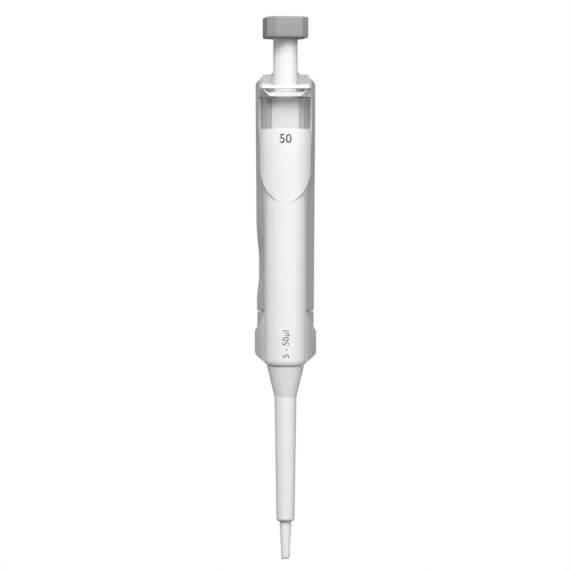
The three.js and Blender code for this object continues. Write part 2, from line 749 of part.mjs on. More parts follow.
// The tube and cone that slide down over the nozzle to push a used tip off, with their arm.
// The cone's top makes room for the bowed lower edge of the front cover.
function ejectorSleeve() {
  const thickness = 0.9;
  const [bottomRadius, creaseRadius, coneSlope] = [3.93, 4.76, 0.245];
  const topRadius = creaseRadius + coneSlope * (SLEEVE_TOP - SLEEVE_CREASE);
  const [roundWidth, roundHeight] = [1.1, 1.3];
  const roundTop = SLEEVE_BOTTOM + roundHeight;
  const bottomRound = arc(bottomRadius - roundWidth, roundTop, roundWidth, roundHeight, -90, 0, 4);
  const mouth = bottomRadius - roundWidth;
  const shell = lathe([
    ...bottomRound.map((p) => [p.x, p.y]),
    [creaseRadius, SLEEVE_CREASE],
    [topRadius, SLEEVE_TOP],
    [topRadius - thickness, SLEEVE_TOP],
    [creaseRadius - thickness, SLEEVE_CREASE],
    [bottomRadius - thickness, SLEEVE_BOTTOM + 2.7],
    [mouth, SLEEVE_BOTTOM + 1.7],
    [mouth, SLEEVE_BOTTOM],
  ], 40);
  const [edgeFront, edgeBack] = bowedEdge().map((p) => v2(p.x, p.y - GAP));
  const above = SLEEVE_TOP + 1;
  const overEdge = [edgeFront, edgeBack, v2(edgeBack.x, above), v2(edgeFront.x, above)];
  const footTop = FOOT_BOTTOM + 2;
  const arm = block(-ARM_HALF, ARM_FRONT, SLEEVE_TOP - 3, ARM_HALF, ARM_BACK, footTop);
  const foot = block(-ARM_HALF, ARM_FRONT, FOOT_BOTTOM, ARM_HALF, EJECTOR_Y + 2.3, footTop);
  const socket = aboutEjector(disc(EJECTOR_ROD_RADIUS + GAP, FOOT_BOTTOM - 1, footTop + 1, 16));
  return shell.subtract(throughX(overEdge, FAR)).add(arm).add(foot).subtract(socket);
}

// ---------------------------------------------------------------- the plunger

function controlButton() {
  const corner = 0.8;
  const [flat, side] = [KNOB_FLAT_HALF - corner * 0.4, KNOB_HALF - corner];
  const corners = [[flat, -side], [side, -flat], [side, flat], [flat, side]];
  const circles = [...corners, ...corners.map(([x, y]) => [-x, -y])].map(([x, y]) => [x, y, corner]);
  const outline = (grow) => belt(circles.map(([x, y, r]) => [x, y, r + grow]), 3);
  const fillet = 0.8;
  const steps = [0, 30, 60, 90].map((degrees) => {
    const angle = THREE.MathUtils.degToRad(degrees);
    return { rise: fillet * (1 - Math.cos(angle)), shrink: -fillet * 0.9 * (1 - Math.sin(angle)) };
  });
  const levels = [
    ...steps.map(({ rise, shrink }) => [KNOB_BOTTOM + rise, shrink]),
    ...steps.toReversed().map(({ rise, shrink }) => [TOTAL_LENGTH - rise, shrink]),
  ];
  const body = loft(
    levels.map(([z]) => z),
    (z) => outline(levels.find(([height]) => height === z)[1]),
  );
  const rodSocket = disc(ROD_RADIUS + GAP, KNOB_BOTTOM - 1, ROD_TOP + GAP);
  const screwHole = disc(KNOB_SCREW_RADIUS + 0.5, KNOB_BOTTOM, TOTAL_LENGTH);
  const capRecess = disc(CAP_RADIUS + GAP, KNOB_SCREW_HEAD_BOTTOM - GAP, TOTAL_LENGTH + 1);
  return body.subtract(rodSocket).subtract(screwHole).subtract(capRecess);
}

function buttonCap() {
  const bottom = TOTAL_LENGTH - 1.3;
  const chamfer = 0.3;
  return lathe([
    [0, bottom], [CAP_RADIUS, bottom], [CAP_RADIUS, TOTAL_LENGTH - chamfer],
    [CAP_RADIUS - chamfer, TOTAL_LENGTH], [0, TOTAL_LENGTH],
  ]);
}

// Holds the knob on the push rod, under the cap.
function knobScrew() {
  const tip = KNOB_BOTTOM - 3.8;
  const head = 2.6;
  const headTop = KNOB_SCREW_HEAD_BOTTOM + 1.4;
  const screw = lathe([
    [0, tip], [KNOB_SCREW_RADIUS, tip], [KNOB_SCREW_RADIUS, KNOB_SCREW_HEAD_BOTTOM],
    [head, KNOB_SCREW_HEAD_BOTTOM], [head, headTop], [0, headTop],
  ], 16);
  return screw.subtract(block(-head - 1, -0.4, headTop - 0.7, head + 1, 0.4, headTop + 1));
}

// The white rod under the knob. Its hexagonal neck turns the volume screw and slides in it.
function plungerRod() {
  const neck = disc(NECK_RADIUS, NECK_BOTTOM, SHOULDER + 1, 6);
  const bore = disc(PUSH_ROD_RADIUS + GAP, NECK_BOTTOM - 1, TOTAL_LENGTH);
  return disc(ROD_RADIUS, SHOULDER, ROD_TOP, 40).add(neck).subtract(bore);
}

// The steel core: its foot presses on the piston's head, and its collar stops on the washer.
function pushRod() {
  const shaft = PUSH_ROD_RADIUS;
  const [foot, collar] = [3.5, 4.2];
  const footBottom = PISTON_HEAD_TOP + GAP;
  const footTop = footBottom + 2;
  const collarBottom = STOP_TOP + PRESS_TRAVEL + 0.5;
  const collarTop = collarBottom + 2;
  const top = ROD_TOP - 0.5;
  const screwHole = KNOB_SCREW_RADIUS + GAP;
  const holeBottom = KNOB_BOTTOM - 4.8;
  return lathe([
    [0, footBottom], [foot, footBottom], [foot, footTop], [shaft, footTop],
    [shaft, collarBottom], [collar, collarBottom], [collar, collarTop], [shaft, collarTop],
    [shaft, top], [screwHole, top], [screwHole, holeBottom], [0, holeBottom],
  ], 24);
}

// ---------------------------------------------------------------- the piston and its stops

const piston = () => disc(PISTON_RADIUS, 38, PISTON_HEAD_TOP - 1, 20);

function pistonHead() {
  const head = disc(3.8, PISTON_HEAD_BOTTOM, PISTON_HEAD_TOP, 24);
  const hole = disc(PISTON_RADIUS + GAP, PISTON_HEAD_BOTTOM - 1, PISTON_HEAD_TOP - 0.7, 20);
  return head.subtract(hole);
}

function primarySpring() {
  const [bottom, top] = [SPRING_BOTTOM, PISTON_HEAD_BOTTOM - GAP];
  return coil({ radius: 3.2, wire: 0.35, bottom, top, turns: 9, sides: 5, stepsPerTurn: 10 });
}

const springSeat = () => ring(4.2, CHAMBER_RADIUS, STOP_BOTTOM - 10, STOP_BOTTOM - 8.4);

function blowoutSpring() {
  const [bottom, top] = [STOP_BOTTOM - 8.1, STOP_BOTTOM - GAP];
  return coil({ radius: 5.2, wire: 0.5, bottom, top, turns: 4 });
}

const stopWasher = () => ring(PUSH_ROD_RADIUS + 0.4, 6.2, STOP_BOTTOM, STOP_TOP, 24);

// ---------------------------------------------------------------- volume setting

// A flange, a threaded shank and a cup that the shoulder of the plunger rod sinks into.
function volumeScrew() {
  const flange = 6;
  const flangeTop = SCREW_BOTTOM + 1.5;
  const shank = 4.9;
  const cup = ROD_RADIUS + 0.9;
  const cupWall = 0.5;
  const cupFloor = CUP_BOTTOM + 2;
  const core = lathe([
    [0, SCREW_BOTTOM], [flange, SCREW_BOTTOM], [flange, flangeTop], [shank, flangeTop],
    [shank, CUP_BOTTOM], [cup, CUP_BOTTOM], [cup, PANEL_TOP], [cup - cupWall, PANEL_TOP],
    [cup - cupWall, cupFloor], [0, cupFloor],
  ], 24);
  const [bottom, top] = [flangeTop + 1.5, CUP_BOTTOM - 3.8];
  const turns = (top - bottom) / SCREW_LEAD;
  const thread = coil({ radius: shank - 0.1, wire: 0.5, bottom, top, turns, sides: 3 });
  const hexBore = disc(NECK_RADIUS + 0.35, SCREW_BOTTOM - 1, cupFloor + 1, 6);
  return core.add(thread).subtract(hexBore);
}

// Climbs the volume screw and sets where the piston's stroke ends; its key slides in the partition.
function volumeNut() {
  const [bore, outside] = [5.75, 6.9];
  const keyHalf = KEYWAY_HALF - GAP;
  const keyBack = PARTITION_Y + PARTITION - GAP;
  const key = block(-keyHalf, bore, NUT_BOTTOM, keyHalf, keyBack, NUT_TOP);
  return ring(bore, outside, NUT_BOTTOM, NUT_TOP)
    .add(key)
    .subtract(disc(bore, NUT_BOTTOM - 1, NUT_TOP + 1));
}

function screwBearing() {
  return ring(PUSH_ROD_RADIUS + 0.6, CHAMBER_RADIUS, SCREW_BOTTOM - 5, SCREW_BOTTOM - GAP);
}

const numberRing = (bottom) =>
  ring(ROD_RADIUS + 0.4, RING_RADIUS, bottom, bottom + RING_HEIGHT, 32);

// ---------------------------------------------------------------- the ejector's upper end

// Moves a solid made about the Z axis to the ejector rod's axis.
const aboutEjector = (made) => solid(geometryOf(made).translate(0, EJECTOR_Y, 0));

function ejectorButton() {
  const half = BUTTON_HALF;
  const rise = 2.3;
  const radius = (half * half + rise * rise) / (2 * rise);
  const halfAngle = THREE.MathUtils.radToDeg(Math.asin(half / radius));
  const [from, to] = [90 - halfAngle, 90 + halfAngle];
  const dome = arc(0, EJECTOR_TOP - radius, radius, radius, from, to, 10);
  const outline = [v2(-half, BUTTON_BOTTOM), v2(half, BUTTON_BOTTOM), ...dome];
  const socket = disc(EJECTOR_ROD_RADIUS + GAP, BUTTON_BOTTOM - 6, EJECTOR_ROD_TOP + GAP, 16);
  return throughY(outline, BUTTON_FRONT, BUTTON_BACK).subtract(aboutEjector(socket));
}

const ejectorRod = () =>
  aboutEjector(disc(EJECTOR_ROD_RADIUS, FOOT_BOTTOM + 0.2, EJECTOR_ROD_TOP, 16));

const rodClip = () => aboutEjector(ring(1.8, 3.6, CLIP_BOTTOM, CLIP_BOTTOM + 1, 20));

function ejectorSpring() {
  const [bottom, top] = [GUIDE_TOP + GAP, CLIP_BOTTOM - GAP];
  const spring = coil({ radius: 2.6, wire: 0.3, bottom, top, turns: 8, sides: 5, stepsPerTurn: 10 });
  return aboutEjector(spring);
}

// The fixed plate that the rod passes through and the spring stands on.
function ejectorGuide() {
  const back = BACK_Y - HANDLE_WALL - GAP;
  const plan = rectangle(-BUTTON_HALF, PARTITION_Y + PARTITION + GAP, BUTTON_HALF, back);
  const hole = disc(EJECTOR_ROD_RADIUS + GAP, GUIDE_TOP - 3, GUIDE_TOP + 1, 16);
  return prism(plan, GUIDE_TOP - 2, GUIDE_TOP).subtract(aboutEjector(hole));
}

// ---------------------------------------------------------------- assembly

const pipette = new THREE.Group();
const inNewGroup = () => {
  const group = new THREE.Group();
  pipette.add(group);
  return group;
};

function addHousing() {
  const housing = inNewGroup();
  add(housing, "rear_housing", rearHousing(), plastic(PALE_GREY));
  add(housing, "front_cover", frontCover(), plastic(WHITE));
  add(housing, "hip_collar", hipCollar(), plastic(PALE_GREY));
  add(housing, "head_bezel", headBezel(), plastic(WHITE));
  add(housing, "display_window", displayWindow(), clear());
  add(housing, "display_plate", displayPlate(), plastic(PALE_GREY));
  add(housing, "counter_frame", counterFrame(), plastic(INNER_GREY));
  add(housing, "rod_guide", rodGuide(), plastic(PALE_GREY));
  add(housing, "finger_hook", fingerHook(), plastic(PALE_GREY));
  add(housing, "hook_screw_lower", hookScrew(HOOK_SCREW_HEIGHTS[0]), steel());
  add(housing, "hook_screw_upper", hookScrew(HOOK_SCREW_HEIGHTS[1]), steel());
}

function addCylinder() {
  const cylinder = inNewGroup();
  add(cylinder, "tip_cone", tipCone(), plastic(WHITE));
  add(cylinder, "union_nut", unionNut(), plastic(INNER_GREY));
  add(cylinder, "piston_seal", pistonSeal(), plastic(DIAL_WHITE));
  add(cylinder, "o_ring", oRing(), plastic(DARK));
  add(cylinder, "seal_retainer", sealRetainer(), steel());
  add(cylinder, "primary_spring", primarySpring(), steel());
}

function addPiston() {
  const moving = inNewGroup();
  add(moving, "piston", piston(), steel());
  add(moving, "piston_head", pistonHead(), plastic(DARK));
}

function addBlowout() {
  const blowout = inNewGroup();
  add(blowout, "spring_seat", springSeat(), plastic(INNER_GREY));
  add(blowout, "blowout_spring", blowoutSpring(), steel());
  add(blowout, "stop_washer", stopWasher(), brass());
}

function addVolumeDrive() {
  const drive = inNewGroup();
  add(drive, "screw_bearing", screwBearing(), plastic(INNER_GREY));
  add(drive, "volume_screw", volumeScrew(), brass());
  add(drive, "volume_nut", volumeNut(), plastic(INNER_GREY));
  add(drive, "units_ring", numberRing(UNITS_BOTTOM), plastic(DIAL_WHITE));
  add(drive, "tens_ring", numberRing(TENS_BOTTOM), plastic(DIAL_WHITE));
}

function addPlunger() {
  const plunger = inNewGroup();
  plunger.rotation.z = KNOB_TURNED;
  add(plunger, "control_button", controlButton(), plastic(KNOB_GREY));
  add(plunger, "button_cap", buttonCap(), plastic(INNER_GREY));
  add(plunger, "knob_screw", knobScrew(), steel());
  add(plunger, "push_rod", pushRod(), steel());
  const upright = inNewGroup();
  add(upright, "plunger_rod", plungerRod(), plastic(WHITE));
}

function addEjector() {
  const ejector = inNewGroup();
  add(ejector, "ejector_button", ejectorButton(), plastic(LIME));
  add(ejector, "ejector_rod", ejectorRod(), steel());
  add(ejector, "ejector_sleeve", ejectorSleeve(), plastic(WHITE));
  add(ejector, "rod_clip", rodClip(), steel());
  add(ejector, "ejector_spring", ejectorSpring(), steel());
  add(ejector, "ejector_guide", ejectorGuide(), plastic(INNER_GREY));
}

addHousing();
addCylinder();
addPiston();
addBlowout();
addVolumeDrive();
addPlunger();
addEjector();

export default pipette;
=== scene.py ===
"""The looks of an adjustable single-channel pipette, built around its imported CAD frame.

The scene is in metres with +Z up and the front facing -Y, and the plunger's axis is the
Z axis. Outlines and sizes of the pieces are given in millimetres.
"""
import json
import math

import bmesh
import bpy
from mathutils import Matrix, Vector

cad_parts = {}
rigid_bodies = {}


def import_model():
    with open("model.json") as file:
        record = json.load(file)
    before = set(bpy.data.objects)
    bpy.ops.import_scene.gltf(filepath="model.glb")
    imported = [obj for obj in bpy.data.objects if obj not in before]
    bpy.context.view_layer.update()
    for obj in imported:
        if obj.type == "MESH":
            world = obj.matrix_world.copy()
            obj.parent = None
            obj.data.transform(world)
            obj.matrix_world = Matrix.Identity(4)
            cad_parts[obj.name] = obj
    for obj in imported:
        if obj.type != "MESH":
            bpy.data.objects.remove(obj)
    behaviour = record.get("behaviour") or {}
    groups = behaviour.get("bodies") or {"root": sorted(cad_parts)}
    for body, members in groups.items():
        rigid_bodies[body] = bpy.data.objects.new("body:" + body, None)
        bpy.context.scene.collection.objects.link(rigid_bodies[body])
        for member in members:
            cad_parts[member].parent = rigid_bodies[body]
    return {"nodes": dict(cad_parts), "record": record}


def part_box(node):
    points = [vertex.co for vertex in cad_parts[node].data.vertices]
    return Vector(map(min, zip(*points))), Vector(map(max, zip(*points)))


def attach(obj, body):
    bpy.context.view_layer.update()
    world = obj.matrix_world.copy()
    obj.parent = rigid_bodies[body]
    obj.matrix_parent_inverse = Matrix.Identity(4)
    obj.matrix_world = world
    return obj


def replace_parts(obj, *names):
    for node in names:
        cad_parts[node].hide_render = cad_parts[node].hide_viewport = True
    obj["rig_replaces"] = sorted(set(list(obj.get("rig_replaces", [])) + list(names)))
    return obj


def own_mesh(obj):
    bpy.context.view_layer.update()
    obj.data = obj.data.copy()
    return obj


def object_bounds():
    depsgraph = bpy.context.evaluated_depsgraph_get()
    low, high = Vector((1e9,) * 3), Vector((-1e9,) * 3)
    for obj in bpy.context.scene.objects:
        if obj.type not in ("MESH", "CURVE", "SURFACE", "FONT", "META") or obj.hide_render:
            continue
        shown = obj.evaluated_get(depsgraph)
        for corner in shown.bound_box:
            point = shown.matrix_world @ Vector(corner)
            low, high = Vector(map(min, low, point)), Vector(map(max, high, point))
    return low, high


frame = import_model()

MM = 0.001
FRAME_LOW, FRAME_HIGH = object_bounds()


# ---------------------------------------------------------------- materials


def srgb(value):
    """Linear value of an sRGB channel given from 0 to 255."""
    share = value / 255
    return share / 12.92 if share <= 0.04045 else ((share + 0.055) / 1.055) ** 2.4


def colour(red, green, blue):
    """An opaque linear colour from sRGB channels given from 0 to 255."""
    return (srgb(red), srgb(green), srgb(blue), 1.0)


def grey(level):
    """An opaque linear grey from an sRGB level given from 0 to 255."""
    return colour(level, level, level)


class Nodes:
    """Adds shader nodes to a material and joins them."""

    def __init__(self, name):
        self.material = bpy.data.materials.new(name)
        self.material.use_nodes = True
        self.tree = self.material.node_tree
        self.surface = self.tree.nodes["Principled BSDF"]
        self.place = self.add("ShaderNodeTexCoord").outputs["Object"]

    def add(self, kind, **settings):
        node = self.tree.nodes.new(kind)
        for key, value in settings.items():
            setattr(node, key, value)
        return node

    def join(self, source, target):
        self.tree.links.new(source, target)

    def noise(self, scale, detail=3.0, stretch=None):
        """Noise over the object, finer along the axes where stretch is larger."""
        node = self.add("ShaderNodeTexNoise")
        node.inputs["Scale"].default_value = scale
        node.inputs["Detail"].default_value = detail
        source = self.place
        if stretch:
            mapping = self.add("ShaderNodeMapping")
            mapping.inputs["Scale"].default_value = stretch
            self.join(source, mapping.inputs["Vector"])
            source = mapping.outputs["Vector"]
        self.join(source, node.inputs["Vector"])
        return node.outputs["Fac"]

    def spread(self, source, low, high):
        """Maps a noise's usual range to low..high."""
        usual_low, usual_high = 0.3, 0.7
        node = self.add("ShaderNodeMapRange")
        node.inputs["From Min"].default_value = usual_low
        node.inputs["From Max"].default_value = usual_high
        node.inputs["To Min"].default_value = low
        node.inputs["To Max"].default_value = high
        self.join(source, node.inputs["Value"])
        return node.outputs["Result"]

    def mottled(self, base, amount, scale):
        """The base colour, a little lighter and darker in soft patches."""
        node = self.add("ShaderNodeHueSaturation")
        node.inputs["Color"].default_value = base
        self.join(self.spread(self.noise(scale), 1 - amount, 1 + amount), node.inputs["Value"])
        self.join(node.outputs["Color"], self.surface.inputs["Base Color"])

    def rough(self, source, low, high):
        """A roughness that wanders between low and high."""
        self.join(self.spread(source, low, high), self.surface.inputs["Roughness"])

    def grain(self, height, strength, distance, edge_radius=0.0):
        """A bump from a height, over edges that are rounded by edge_radius."""
        bump = self.add("ShaderNodeBump")
        bump.inputs["Strength"].default_value = strength
        bump.inputs["Distance"].default_value = distance
        self.join(height, bump.inputs["Height"])
        if edge_radius:
            edges = self.add("ShaderNodeBevel", samples=4)
            edges.inputs["Radius"].default_value = edge_radius
            self.join(edges.outputs["Normal"], bump.inputs["Normal"])
        self.join(bump.outputs["Normal"], self.surface.inputs["Normal"])


def plastic(name, base, roughness, grain=0.12, shine=0.5):
    """Moulded plastic: a fine spark-eroded grain, faint mottling and handling marks."""
    nodes = Nodes(name)
    nodes.mottled(base, amount=0.012, scale=90)
    nodes.rough(nodes.noise(scale=140), roughness - 0.05, roughness + 0.07)
    nodes.surface.inputs["Specular IOR Level"].default_value = shine
    pits = nodes.noise(scale=2600, detail=2)
    nodes.grain(pits, strength=grain, distance=0.02 * MM, edge_radius=0.12 * MM)
    return nodes.material


def metal(name, base, roughness):
    """Turned metal: fine rings round the axis and slightly uneven polish."""
    nodes = Nodes(name)
    nodes.mottled(base, amount=0.05, scale=200)
    nodes.surface.inputs["Metallic"].default_value = 1.0
    rings = nodes.noise(scale=900, detail=2, stretch=(0.08, 0.08, 6.0))
    nodes.rough(rings, roughness - 0.08, roughness + 0.1)
    nodes.grain(rings, strength=0.15, distance=0.02 * MM, edge_radius=0.08 * MM)
    return nodes.material


def clear(name):
    """Clear plastic that lets most light through; it fades where it is seen edge-on."""
    nodes = Nodes(name)
    nodes.mottled(colour(250, 251, 252), amount=0.004, scale=60)
    edge_on = nodes.add("ShaderNodeLayerWeight").outputs["Facing"]
    haze = nodes.add("ShaderNodeMapRange")
    haze.inputs["From Min"].default_value = 0.5
    haze.inputs["To Min"].default_value = 0.2
    haze.inputs["To Max"].default_value = 0.0
    nodes.join(edge_on, haze.inputs["Value"])
    nodes.join(haze.outputs["Result"], nodes.surface.inputs["Alpha"])
    nodes.rough(nodes.noise(scale=300), 0.05, 0.12)
    nodes.grain(nodes.noise(scale=500, detail=2), strength=0.03, distance=0.01 * MM)
    return nodes.material


def make_materials():
    return {
        "white_plastic": plastic("white_plastic", grey(238), 0.42),
        "pale_grey_plastic": plastic("pale_grey_plastic", grey(222), 0.46),
        "knob_grey_plastic": plastic("knob_grey_plastic", grey(158), 0.5),
        "lime_plastic": plastic("lime_plastic", colour(176, 190, 60), 0.3, grain=0.05),
        "inner_grey_plastic": plastic("inner_grey_plastic", grey(150), 0.55),
        "dial_white": plastic("dial_white", grey(240), 0.5),
        "seal_white": plastic("seal_white", colour(244, 244, 240), 0.6),
        "black_plastic": plastic("black_plastic", colour(40, 40, 42), 0.5),
        "black_rubber": plastic("black_rubber", grey(28), 0.75, grain=0.3, shine=0.3),
        "clear_plastic": clear("clear_plastic"),
        "steel": metal("steel", colour(196, 198, 202), 0.3),
        "brass": metal("brass", colour(214, 182, 110), 0.32),
        "print_ink": plastic("print_ink", colour(70, 72, 76), 0.6, grain=0.02),
    }


MATERIALS = make_materials()
SLOT_OF = {s["node"]: s["material_slot"] for s in frame["record"]["subparts"]}
BODY_OF = {
    node: body
    for body, nodes in frame["record"]["behaviour"]["bodies"].items()
    for node in nodes
}


# ---------------------------------------------------------------- pieces from meshes


def finish_piece(name, mesh, node, slot=None, replaces=True):
    """Puts a mesh in the scene as a piece that rides with a CAD node's body."""
    piece = bpy.data.objects.new(name, mesh)
    bpy.context.scene.collection.objects.link(piece)
    slot = slot or SLOT_OF[node]
    mesh.materials.clear()
    mesh.materials.append(MATERIALS[slot])
    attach(piece, BODY_OF[node])
    if replaces:
        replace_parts(piece, node)
    return piece


def smooth_by_angle(mesh, degrees):
    """Shades a mesh smoothly except across edges sharper than the angle."""
    for face in mesh.polygons:
        face.use_smooth = True
    mesh.set_sharp_from_angle(angle=math.radians(degrees))


def refined(node, bevel):
    """A CAD node's shape with its flat facets joined up and its edges rolled over."""
    weld, sliver = 0.002 * MM, 0.01 * MM
    flat, smooth, sharp = 1, 30, 32
    mesh = frame["nodes"][node].data.copy()
    work = bmesh.new()
    work.from_mesh(mesh)
    bmesh.ops.remove_doubles(work, verts=work.verts, dist=weld)
    bmesh.ops.dissolve_degenerate(work, edges=work.edges, dist=sliver)
    bmesh.ops.dissolve_limit(
        work, angle_limit=math.radians(flat), verts=work.verts, edges=work.edges
    )
    work.to_mesh(mesh)
    work.free()
    smooth_by_angle(mesh, smooth)
    piece = finish_piece(node + "_shape", mesh, node)
    rolled = piece.modifiers.new("rolled_edges", "BEVEL")
    rolled.width = bevel
    rolled.segments = 2
    rolled.limit_method = "ANGLE"
    rolled.angle_limit = math.radians(sharp)
    rolled.use_clamp_overlap = True
    rolled.harden_normals = True
    return piece


def move_end(piece, which, height):
    """Moves the flat lower (min) or upper (max) end of a piece to another height."""
    flat = 0.01 * MM
    end = which(vert.co.z for vert in piece.data.vertices)
    for vert in piece.data.vertices:
        if abs(vert.co.z - end) < flat:
            vert.co.z = height


# ---------------------------------------------------------------- shapes, in millimetres


def box_mm(node):
    """The low and the high corner of the box round a CAD node."""
    low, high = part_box(node)
    return low / MM, high / MM


def smoothstep(start, end, value):
    """Goes gently from 0 at the start to 1 at the end, whichever of them is larger."""
    share = min(max((value - start) / (end - start), 0), 1)
    return share * share * (3 - 2 * share)


def quarter_round(share):
    """How far a quarter circle has drawn in, a share of its radius past its start."""
    return 1 - math.sqrt(max(1 - share * share, 0))


def arc(x, y, radius_x, radius_y, start, end, steps):
    """Points of an elliptical arc between two angles in degrees."""
    angles = [math.radians(start + (end - start) * k / steps) for k in range(steps + 1)]
    return [Vector((x + radius_x * math.cos(a), y + radius_y * math.sin(a))) for a in angles]


def around(radius, angle, z):
    """A point at a distance and a direction from the plunger's axis."""
    return (radius * math.cos(angle), radius * math.sin(angle), z)


def belt(circles):
    """The outline of a belt round circles (x, y, radius), listed counter-clockwise."""
    points_per_arc = 8
    leaves = []
    for (x, y, radius), (next_x, next_y, next_radius) in zip(circles, circles[1:] + circles[:1]):
        across, along = next_x - x, next_y - y
        spread = math.acos((radius - next_radius) / math.hypot(across, along))
        leaves.append(math.atan2(along, across) - spread)
    outline = []
    for (x, y, radius), start, leave in zip(circles, leaves[-1:] + leaves[:-1], leaves):
        sweep = (leave - start) % (2 * math.pi)
        for k in range(points_per_arc):
            angle = start + sweep * k / (points_per_arc - 1)
            outline.append(Vector((x + radius * math.cos(angle), y + radius * math.sin(angle))))
    return outline


def rounded(corners, radius):
    """A closed outline with its corners rounded, except those on the axis or left of it."""
    axis_width, nearly_straight = 0.01, math.radians(170)
    most_of_side, steps = 0.45, 4
    corners = [Vector(corner) for corner in corners]
    befores, afters = corners[-1:] + corners[:-1], corners[1:] + corners[:1]
    outline = []
    for before, corner, after in zip(befores, corners, afters):
        back, ahead = before - corner, after - corner
        if corner.x < axis_width or back.angle(ahead) > nearly_straight:
            outline.append(corner)
            continue
        reach = min(radius, most_of_side * back.length, most_of_side * ahead.length)
        start = corner + back.normalized() * reach
        end = corner + ahead.normalized() * reach
        for k in range(steps + 1):
            t = k / steps
            outline.append(start * (1 - t) ** 2 + corner * 2 * t * (1 - t) + end * t * t)
    return outline


def mesh_of(points, faces, smooth):
    """A mesh in metres from points in millimetres, welded and facing out."""
    weld = 0.001 * MM
    mesh = bpy.data.meshes.new("shape")
    mesh.from_pydata([Vector(point) * MM for point in points], [], faces)
    work = bmesh.new()
    work.from_mesh(mesh)
    bmesh.ops.remove_doubles(work, verts=work.verts, dist=weld)
    loose = [edge for edge in work.edges if not edge.link_faces]
    bmesh.ops.delete(work, geom=loose, context="EDGES")
    bmesh.ops.recalc_face_normals(work, faces=work.faces)
    work.to_mesh(mesh)
    work.free()
    smooth_by_angle(mesh, smooth)
    return mesh


def skin(loops, closed=False, smooth=35):
    """A mesh through loops of equally many points; its ends are capped, or joined if closed."""
    count = len(loops[0])
    points = [point for loop in loops for point in loop]
    faces = []
    for level in range(len(loops) if closed else len(loops) - 1):
        here, there = level * count, (level + 1) % len(loops) * count
        for i in range(count):
            j = (i + 1) % count
            faces.append((here + i, here + j, there + j, there + i))
    if not closed:
        faces.append(tuple(range(count))[::-1])
        faces.append(tuple(range(len(points) - count, len(points))))
    return mesh_of(points, faces, smooth)


def turned(corners, rounding=0.15, segments=72, centre_y=0.0):
    """A solid of revolution from the corners (radius, height) of its closed half section."""
    section = rounded(corners, rounding)
    loops = []
    for k in range(segments):
        angle = 2 * math.pi * k / segments
        turn_x, turn_y = math.cos(angle), math.sin(angle)
        loops.append([(p.x * turn_x, p.x * turn_y + centre_y, p.y) for p in section])
    return skin(loops, closed=True)


def ring_section(inner, outer, bottom, top):
    """The half section of a ring, or of a disc where the inner radius is 0."""
    return [(inner, bottom), (outer, bottom), (outer, top), (inner, top)]


def add_turned(node, corners, rounding, centre_y=0.0):
    """Replaces a CAD node by a solid of revolution."""
    finish_piece(node + "_shape", turned(corners, rounding, centre_y=centre_y), node)


def helix(node, radius, wire, turns, centre_y):
    """A compression spring that fills the node's height; its end coils lie against each other."""
    low, high = box_mm(node)
    bottom, top = low.z + wire, high.z - wire
    closed_turns, steps_per_turn, sides = 1.0, 28, 10
    steps = round(turns * steps_per_turn)
    end_rise = 2 * wire * closed_turns
    open_turns = turns - 2 * closed_turns

    def height(turn):
        if turn < closed_turns:
            return bottom + end_rise * turn / closed_turns
        if turn > turns - closed_turns:
            return top - end_rise * (turns - turn) / closed_turns
        share = (turn - closed_turns) / open_turns
        return bottom + end_rise + (top - bottom - 2 * end_rise) * share

    loops = []
    for k in range(steps + 1):
        turn = turns * k / steps
        outward = Vector(around(1, 2 * math.pi * turn, 0))
        upward = Vector((0, 0, 1))
        centre = outward * radius + Vector((0, centre_y, height(turn)))
        loop = []
        for i in range(sides):
            angle = 2 * math.pi * i / sides
            loop.append(centre + (outward * math.cos(angle) + upward * math.sin(angle)) * wire)
        loops.append(loop)
    return skin(loops, smooth=60)


# ---------------------------------------------------------------- the pipette's pieces

COVER_LOW, COVER_HIGH = box_mm("front_cover")
GAP = 0.3
ROD_RADIUS = box_mm("plunger_rod")[1].x
PUSH_ROD_RADIUS = 2.0
BARREL_RADIUS = -COVER_LOW.y
PANEL_RADIUS = 11.7
PANEL_Y = PANEL_RADIUS - BARREL_RADIUS
FOOT_HEIGHT, FOOT_INSET = 3.0, 1.3
TOP_ROUND = 0.5
PANEL_U_HALF, PANEL_U_HEIGHT, PANEL_U_TOP = 11.5, 16.4, 170.7
CONE_CREASE, CONE_TOP = 70.3, 84.0


def add_tip_cone():
    """The nozzle, the shank inside the sleeve, the flange, and the bore through them."""
    low, high = box_mm("tip_cone")
    sleeve_bottom = box_mm("ejector_sleeve")[0].z
    flange_bottom = box_mm("hip_collar")[0].z
    flange_top = flange_bottom + 3.1
    seat_bottom = box_mm("seal_retainer")[0].z - GAP
    seal_bottom = box_mm("piston_seal")[0].z - GAP
    cylinder_bottom = 22
    flange, neck, seat, seal, cylinder, channel = high.x, 5.4, 4.2, 3.0, 1.45, 0.6
    nozzle = [
        (channel, low.z),
        (1.45, low.z),
        (1.78, 0.5),
        (1.92, 1.6),
        (1.97, 5),
        (2.38, 11.6),
        (2.52, sleeve_bottom + 0.2),
    ]
    shank = [
        (2.6, 20),
        (2.9, 66),
        (5, 80),
        (flange, flange_bottom),
        (flange, flange_top),
        (neck, flange_top),
        (neck, high.z),
    ]
    bore = [
        (seat, high.z),
        (seat, seat_bottom),
        (seal, seat_bottom),
        (seal, seal_bottom),
        (cylinder, seal_bottom),
        (cylinder, cylinder_bottom),
        (channel, cylinder_bottom),
    ]
    add_turned("tip_cone", nozzle + shank + bore, rounding=0.25)


def front_edge(y):
    """Height of the front cover's lower edge, which bows down towards the front."""
    foremost, bow = FOOT_INSET - BARREL_RADIUS, 0.95
    return COVER_LOW.z + bow * max(0.0, y - foremost) / (COVER_HIGH.y - foremost)


